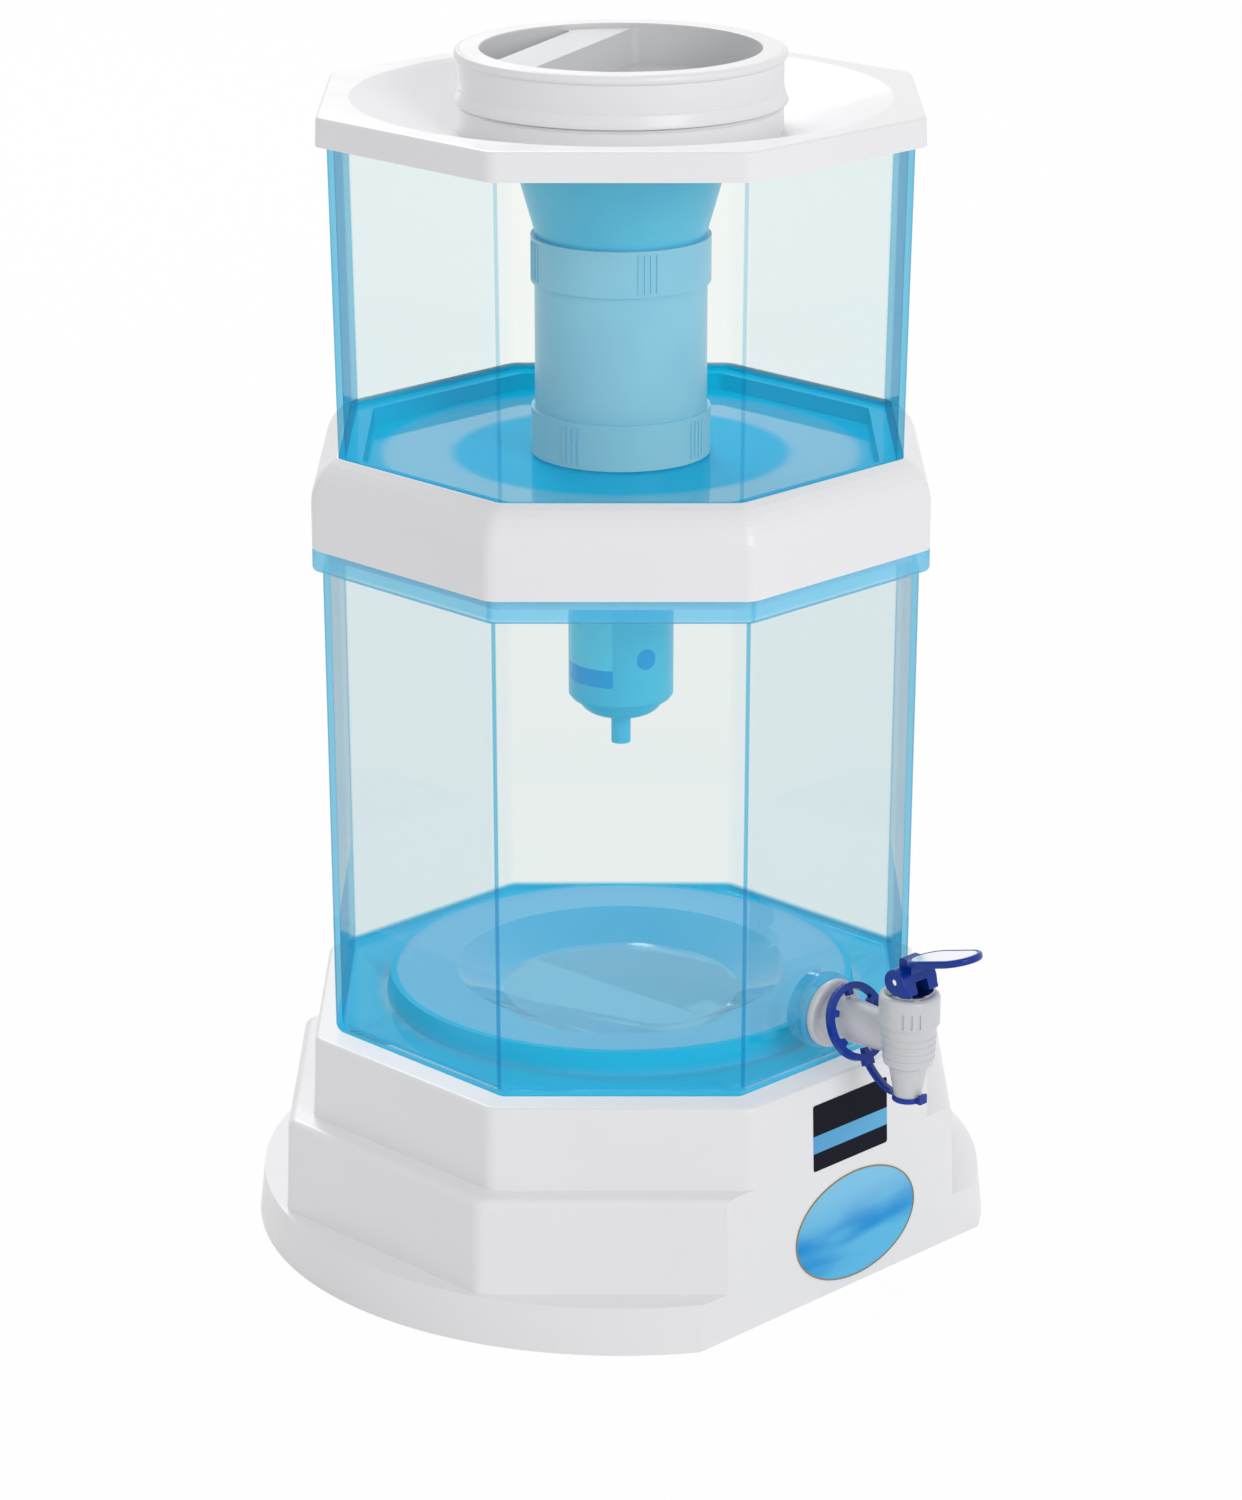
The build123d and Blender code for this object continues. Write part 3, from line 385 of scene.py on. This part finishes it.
def make_finishes():
    white, white_shade = rgb(243, 243, 245), rgb(241, 241, 243)
    royal, royal_shade = rgb(0, 56, 166), rgb(0, 50, 152)
    return {
        "white": moulded("white_plastic", white, white_shade, 0.32, grain_strength=0.02),
        # the fill cap's grey inside its rim is painted shade
        "painted_shade_white": painted_shade_white(white, rgb(214, 215, 217)),
        "lower_clear": clear_tank("lower_clear_plastic", LOWER_TINT, LOWER_MILK, LOWER_CORNER,
                                  lower_tank_thick, lower_tank_deep),
        "upper_clear": clear_tank("upper_clear_plastic", UPPER_TINT, UPPER_MILK, UPPER_CORNER,
                                  upper_tank_thick, upper_tank_deep),
        "filter_blue": cloudy("filter_blue_plastic", rgb(160, 230, 255), rgb(154, 225, 254)),
        "funnel_blue": cloudy("funnel_blue_plastic", rgb(108, 222, 255), rgb(100, 216, 254)),
        "cartridge_blue": cloudy("cartridge_blue_plastic", rgb(80, 216, 254), rgb(72, 209, 251)),
        "grey": moulded("grey_plastic", rgb(214, 216, 220), rgb(210, 212, 216), 0.3, grain_strength=0.02),
        "royal": moulded("royal_blue_plastic", royal, royal_shade, 0.22, grain_strength=0.02,
                         Specular_IOR_Level=0.3),
        "black": moulded("black_plastic", rgb(20, 21, 26), rgb(14, 15, 20), 0.3),
        "chrome": metal("bright_metal", (0.82, 0.83, 0.85, 1.0), 0.06, (1, 1, 30)),
        "washer": metal("washer_metal", (0.34, 0.35, 0.37, 1.0), 0.10, (1, 1, 30)),
        "silver": metal("silver_plate", (0.86, 0.88, 0.92, 1.0), 0.08, (12, 1, 1)),
        "spring": metal("spring_steel", (0.55, 0.56, 0.58, 1.0), 0.25, (1, 1, 1)),
        "silicone": cloudy("clear_silicone", rgb(222, 234, 240), rgb(214, 228, 236), 0.3, 0.35),
        "felt": fuzzy("filter_felt", rgb(240, 242, 240), rgb(222, 226, 226), 700.0),
        "fibre": fuzzy("hollow_fibre", rgb(240, 238, 228), rgb(214, 210, 196), 900.0, (1, 1, 0.05)),
        "potting": moulded("potting_resin", rgb(222, 217, 200), rgb(210, 204, 186), 0.35),
    }


NODE_FINISH = {
    "base_stand": "white", "collar_band": "white", "lid": "white", "fill_cap": "painted_shade_white",
    "lower_tank": "lower_clear", "upper_tank": "upper_clear",
    "filter_housing": "filter_blue", "funnel": "funnel_blue",
    "filter_bottom_collar": "filter_blue", "filter_top_collar": "filter_blue",
    "cartridge_cap": "cartridge_blue", "cartridge_body": "cartridge_blue",
    "sediment_core": "felt", "fibre_bundle": "fibre", "cartridge_potting": "potting",
    "cap_seal": "silicone", "filter_gasket": "silicone", "cartridge_gasket": "silicone",
    "tap_gasket": "silicone", "tap_valve_seal": "silicone",
    "tap_body": "grey", "tap_bonnet": "grey", "tap_washer": "washer",
    "lever_pin": "chrome", "lever_plate": "silver", "tap_spring": "spring", "tap_plunger": "black",
    "tap_lever": "royal", "strap_ring": "royal", "spout_cap": "royal", "cap_strap": "royal",
}


def dress_nodes(nodes, finishes):
    """Give each CAD node its finish."""
    for name, node in nodes.items():
        for slot in node.material_slots:
            slot.material = finishes[NODE_FINISH[name]]


# ---------------------------------------------------------------- mesh helpers
def mesh_object(name, build, smooth=True):
    """Object whose mesh build(bm) fills, in metres."""
    bm = bmesh.new()
    build(bm)
    bmesh.ops.recalc_face_normals(bm, faces=bm.faces)
    mesh = bpy.data.meshes.new(name)
    bm.to_mesh(mesh)
    bm.free()
    for face in mesh.polygons:
        face.use_smooth = smooth
    piece = bpy.data.objects.new(name, mesh)
    bpy.context.scene.collection.objects.link(piece)
    return piece


def closed_tube(bm, loops):
    """Faces round and between loops of points, the last joined to the first."""
    rings = [[bm.verts.new(point) for point in loop] for loop in loops]
    count = len(rings[0])
    for ring, beyond in zip(rings, rings[1:] + rings[:1]):
        for index in range(count):
            following = (index + 1) % count
            bm.faces.new((ring[index], beyond[index], beyond[following], ring[following]))


def bridge(bm, rings):
    """Faces between successive closed rings of points, with both ends capped."""
    loops = [[bm.verts.new(point) for point in ring] for ring in rings]
    count = len(loops[0])
    for lower, upper in zip(loops, loops[1:]):
        for index in range(count):
            following = (index + 1) % count
            bm.faces.new((lower[index], lower[following], upper[following], upper[index]))
    bm.faces.new(loops[0])
    bm.faces.new(loops[-1])


def front_point(across, height, proud):
    """Point on the stand's front plane, proud of it, from mm to metres."""
    return Vector((across, -FRONT_OFFSET + FRONT_LEAN * height - proud, height + FRONT_LEAN * proud)) * MM


def sticker(name, outline):
    """Thin plate with a softened edge on the stand's front, from (across, height) points."""
    middle = Vector((sum(p[0] for p in outline) / len(outline), sum(p[1] for p in outline) / len(outline)))

    def build(bm):
        rings = []
        for inset, proud in ((0.0, 0.02), (0.0, STICKER_THICKNESS - 0.1), (0.12, STICKER_THICKNESS)):
            ring = []
            for across, height in outline:
                inward = (middle - Vector((across, height))).normalized() * inset
                ring.append(front_point(across + inward.x, height + inward.y, proud))
            rings.append(ring)
        bridge(bm, rings)
    return mesh_object(name, build, smooth=False)


def rounded_box(centre, size, corner, steps=6):
    """(across, height) points round a box with rounded corners."""
    points = []
    for turn, (right, up) in enumerate(((1, 1), (-1, 1), (-1, -1), (1, -1))):
        for step in range(steps + 1):
            angle = math.pi / 2 * (turn + step / steps)
            points.append((centre[0] + right * (size[0] / 2 - corner) + corner * math.cos(angle),
                           centre[1] + up * (size[1] / 2 - corner) + corner * math.sin(angle)))
    return points


def ellipse(centre, radii, count=96):
    """(across, height) points round an ellipse."""
    return [(centre[0] + radii[0] * math.cos(math.tau * step / count),
             centre[1] + radii[1] * math.sin(math.tau * step / count)) for step in range(count)]


# ---------------------------------------------------------------- stickers
def band_material():
    """Plain badge: a light blue band between two navy ones."""
    nodes = Nodes("badge_print")
    x, _, z = nodes.axes()
    left, foot = (centre - size / 2 for centre, size in zip(BADGE_CENTRE, BADGE_SIZE))
    share = nodes.ramp(z, foot * MM, (foot + BADGE_SIZE[1]) * MM)
    share.node.interpolation_type = "LINEAR"
    lower, upper = (nodes.ramp(share, start, start + BAND_BLUR) for start in BADGE_BAND)
    navy, sky = rgb(9, 12, 30), rgb(104, 184, 228)
    middle = nodes.mix(nodes.ramp(x, left * MM, (left + BADGE_SIZE[0]) * MM), rgb(98, 172, 220), sky)
    colour = nodes.mix(lower, navy, middle)
    colour = nodes.mix(upper, colour, nodes.mix(nodes.noise(300.0), navy, rgb(6, 9, 24)))
    nodes.principled(Base_Color=colour, Roughness=0.4, Specular_IOR_Level=0.08)
    return nodes.material


def ripple_material():
    """Plain oval: water-like blue ripples, paler at the top."""
    nodes = Nodes("oval_print")
    z = nodes.axes()[2]
    height = nodes.ramp(z, (OVAL_CENTRE[1] - OVAL_RADII[1]) * MM, (OVAL_CENTRE[1] + OVAL_RADII[1]) * MM)
    waves = nodes.noise(26.0, 2.5, 0.45, (0.5, 1.0, 2.2))
    deep = nodes.mix(nodes.ramp(waves, 0.4, 0.62), rgb(18, 146, 222), rgb(104, 198, 242))
    colour = nodes.mix(nodes.ramp(height, 0.35, 1.0), deep, rgb(136, 208, 244))
    nodes.principled(Base_Color=colour, Roughness=0.4, Specular_IOR_Level=0.08)
    return nodes.material


def make_stickers():
    badge = sticker("front_badge", rounded_box(BADGE_CENTRE, BADGE_SIZE, 1.2))
    badge.data.materials.append(band_material())
    oval = sticker("front_oval", ellipse(OVAL_CENTRE, OVAL_RADII))
    oval.data.materials.append(ripple_material())
    rim = oval_rim()
    for piece in (badge, oval, rim):
        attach(piece, "stand")


def oval_rim():
    """Thin gilt line round the oval sticker."""
    def build(bm):
        count = 96
        inner, proud = GILT_REACH - GILT_WIDTH, STICKER_THICKNESS + GILT_RISE
        profile = ((GILT_REACH, 0.05), (GILT_REACH, proud), (inner, proud), (inner, 0.05))
        loops = []
        for step in range(count):
            angle = math.tau * step / count
            loops.append([front_point(
                OVAL_CENTRE[0] + (OVAL_RADII[0] + beyond) * math.cos(angle),
                OVAL_CENTRE[1] + (OVAL_RADII[1] + beyond) * math.sin(angle), rise)
                for beyond, rise in profile])
        closed_tube(bm, loops)
    rim = mesh_object("front_oval_rim", build, smooth=False)
    rim.data.materials.append(metal("gilt_line", rgb(150, 134, 96), 0.3, (1, 1, 1)))
    return rim


# ---------------------------------------------------------------- rounded edges of the fill cap
def turned_ring(name, profile, finish, count=64):
    """Ring on the fill cap, turned round the tanks' axis from (radius, height) points."""
    def build(bm):
        turns = [math.tau * step / count for step in range(count)]
        closed_tube(bm, [[Vector((radius * math.cos(turn), radius * math.sin(turn), height)) * MM
                          for radius, height in profile] for turn in turns])
    ring = mesh_object(name, build)
    ring.data.materials.append(finish)
    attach(ring, "cap")


# ---------------------------------------------------------------- cartridge label
def wrapped_patch(name, angles, heights, colour, shade, rounded=False, count=24):
    """Thin printed patch on the cartridge, between two angles in degrees and two heights."""
    middle, half = (heights[0] + heights[1]) / 2, (heights[1] - heights[0]) / 2
    inner, outer = CARTRIDGE_RADIUS + 0.03, CARTRIDGE_RADIUS + 0.15

    def build(bm):
        rings = []
        for step in range(count + 1):
            share = (step + 0.5) / (count + 1) if rounded else step / count
            angle = math.radians(angles[0] + (angles[1] - angles[0]) * share)
            reach_up = half * math.sqrt(1 - (2 * share - 1) ** 2) if rounded else half
            outward = Vector((math.cos(angle), math.sin(angle), 0))
            rings.append([(outward * reach + Vector((0, 0, middle + up * reach_up))) * MM
                          for reach, up in ((inner, -1), (outer, -1), (outer, 1), (inner, 1))])
        bridge(bm, rings)
    patch = mesh_object(name, build, smooth=False)
    patch.data.materials.append(moulded(name + "_print", colour, shade, 0.25))
    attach(patch, "upper")


# ---------------------------------------------------------------- strap
def make_strap(finish):
    """Flat strap from the ring on the stem to the spout cap."""
    start, bend, pull, end = [Vector((0, y, z)) for y, z in STRAP_ROUTE]
    centres = interpolate_bezier(start, bend, pull, end, 25)
    upper_half = ((1, 0.5), (0.85, 1), (-0.85, 1), (-1, 0.5))
    section = upper_half + tuple((-side, -rise) for side, rise in upper_half)

    def build(bm):
        rings = []
        for index, centre in enumerate(centres):
            ahead = centres[min(index + 1, len(centres) - 1)] - centres[max(index - 1, 0)]
            across = Vector((STRAP_HALF_WIDTH, 0, 0))
            normal = ahead.cross(across).normalized() * STRAP_HALF_THICKNESS
            rings.append([(centre + across * side + normal * rise) * MM for side, rise in section])
        bridge(bm, rings)
    strap = mesh_object("strap", build)
    strap.data.materials.append(finish)
    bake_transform(strap)
    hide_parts("cap_strap")


# ---------------------------------------------------------------- tap's spring
def make_spring(finish):
    """Coil spring round the tap's plunger, made at one length and moved with the lower tank."""
    steps, around = 16 * SPRING_TURNS, 6
    foot, top = SPRING_HEIGHTS

    def build(bm):
        rings = []
        for step in range(steps + 1):
            turn = math.tau * SPRING_TURNS * step / steps
            outward = Vector((math.cos(turn), math.sin(turn), 0))
            centre = Vector((0, -TAP_REACH, foot + (top - foot) * step / steps)) + outward * SPRING_RADIUS
            ring = []
            for side in range(around):
                angle = math.tau * side / around
                offset = outward * math.cos(angle) + Vector((0, 0, math.sin(angle)))
                ring.append((centre + offset * WIRE_RADIUS) * MM)
            rings.append(ring)
        bridge(bm, rings)
    spring = mesh_object("spring", build)
    spring.data.materials.append(finish)
    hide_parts("tap_spring")
    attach(spring, "lower")
    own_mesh(spring)


# ---------------------------------------------------------------- stage
def seen_share(nodes):
    """1 for rays that show the backdrop: from the camera, or through or off a shiny surface."""
    path = nodes.add("ShaderNodeLightPath")
    seen = nodes.math("MAXIMUM", path.outputs["Is Camera Ray"], path.outputs["Is Glossy Ray"])
    return nodes.math("MAXIMUM", seen, path.outputs["Is Transmission Ray"])


def make_floor():
    """Wide pale floor that shows white and keeps a soft shadow."""
    def build(bm):
        bmesh.ops.create_circle(bm, cap_ends=True, segments=128, radius=FLOOR_RADIUS)
        bmesh.ops.translate(bm, verts=bm.verts, vec=(0, 0, -FLOOR_DROP))
    floor = mesh_object("floor", build, smooth=False)
    nodes = Nodes("floor_paper")
    diffuse = nodes.add("ShaderNodeBsdfDiffuse")
    diffuse.inputs["Color"].default_value = (0.86, 0.86, 0.86, 1.0)
    glow = nodes.add("ShaderNodeEmission")
    glow.inputs["Color"].default_value = (1.0, 1.0, 1.0, 1.0)
    glow.inputs["Strength"].default_value = 1.0
    blend = nodes.add("ShaderNodeMixShader")
    nodes.put(blend.inputs[0], nodes.math("MULTIPLY", seen_share(nodes), FLOOR_GLOW))
    nodes.put(blend.inputs[1], diffuse.outputs[0])
    nodes.put(blend.inputs[2], glow.outputs[0])
    nodes.put(nodes.output.inputs["Surface"], blend.outputs[0])
    floor.data.materials.append(nodes.material)


def make_world():
    """White studio: plain light on the object, white where it is seen."""
    world = bpy.data.worlds.new("studio")
    bpy.context.scene.world = world
    world.use_nodes = True
    tree = world.node_tree
    tree.nodes.clear()
    path = tree.nodes.new("ShaderNodeLightPath")
    most = tree.nodes.new("ShaderNodeMath")
    most.operation = "MAXIMUM"
    tree.links.new(path.outputs["Is Camera Ray"], most.inputs[0])
    tree.links.new(path.outputs["Is Transmission Ray"], most.inputs[1])
    seen = tree.nodes.new("ShaderNodeMath")
    seen.operation = "MAXIMUM"
    tree.links.new(most.outputs[0], seen.inputs[0])
    tree.links.new(path.outputs["Is Glossy Ray"], seen.inputs[1])
    level = tree.nodes.new("ShaderNodeMapRange")
    level.inputs["To Min"].default_value = WORLD_LEVEL
    level.inputs["To Max"].default_value = 1.0
    tree.links.new(seen.outputs[0], level.inputs["Value"])
    sky = tree.nodes.new("ShaderNodeBackground")
    sky.inputs["Color"].default_value = (1.0, 1.0, 1.0, 1.0)
    tree.links.new(level.outputs[0], sky.inputs["Strength"])
    output = tree.nodes.new("ShaderNodeOutputWorld")
    tree.links.new(sky.outputs[0], output.inputs["Surface"])


def area_light(name, place, power):
    """Square lamp that faces the object's middle."""
    data = bpy.data.lights.new(name, "AREA")
    data.size = LIGHT_SIZE
    data.energy = power
    light = bpy.data.objects.new(name, data)
    bpy.context.scene.collection.objects.link(light)
    light.location = place
    light.rotation_euler = (Vector(LIGHT_AIM) - Vector(place)).to_track_quat("-Z", "Y").to_euler()


def make_camera():
    data = bpy.data.cameras.new("camera")
    data.sensor_fit = "VERTICAL"
    data.sensor_height = SENSOR_HEIGHT
    data.lens = FOCAL_PIXELS / IMAGE_HEIGHT * SENSOR_HEIGHT
    camera = bpy.data.objects.new("camera", data)
    bpy.context.scene.collection.objects.link(camera)
    camera.location = (CAMERA_DISTANCE * math.sin(CAMERA_HEADING),
                       -CAMERA_DISTANCE * math.cos(CAMERA_HEADING), CAMERA_HEIGHT)
    camera.rotation_euler = (math.pi / 2 - CAMERA_PITCH, 0, CAMERA_HEADING)
    bpy.context.scene.camera = camera


# ---------------------------------------------------------------- the scene
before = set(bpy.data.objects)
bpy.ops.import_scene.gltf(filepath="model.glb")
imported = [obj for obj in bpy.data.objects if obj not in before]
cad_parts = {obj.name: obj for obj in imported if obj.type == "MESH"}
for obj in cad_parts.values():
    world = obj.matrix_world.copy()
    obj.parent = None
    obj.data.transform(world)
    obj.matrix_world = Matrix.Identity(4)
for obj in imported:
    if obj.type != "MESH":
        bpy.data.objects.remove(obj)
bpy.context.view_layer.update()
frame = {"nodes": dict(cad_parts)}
bpy.context.scene.view_settings.view_transform = "Standard"
make_camera()
make_world()
make_floor()
area_light("key", KEY_PLACE, KEY_POWER)
area_light("back", BACK_PLACE, BACK_POWER)
finishes = make_finishes()
dress_nodes(frame["nodes"], finishes)
make_stickers()
pale_print, pale_shade = rgb(92, 220, 254), rgb(84, 214, 252)
strong_print, strong_shade = rgb(1, 176, 246), rgb(1, 168, 240)
wrapped_patch("cartridge_label", LABEL_ANGLES, LABEL_HEIGHTS, pale_print, pale_shade)
wrapped_patch("cartridge_label_foot", LABEL_ANGLES, LABEL_FOOT_HEIGHTS, strong_print, strong_shade)
wrapped_patch("cartridge_mark", MARK_ANGLES, MARK_HEIGHTS, strong_print, strong_shade, rounded=True)
make_strap(finishes["royal"])
make_spring(finishes["spring"])
turned_ring("cap_lip", CAP_LIP, finishes["white"])
turned_ring("cap_flare", CAP_FLARE, finishes["white"])
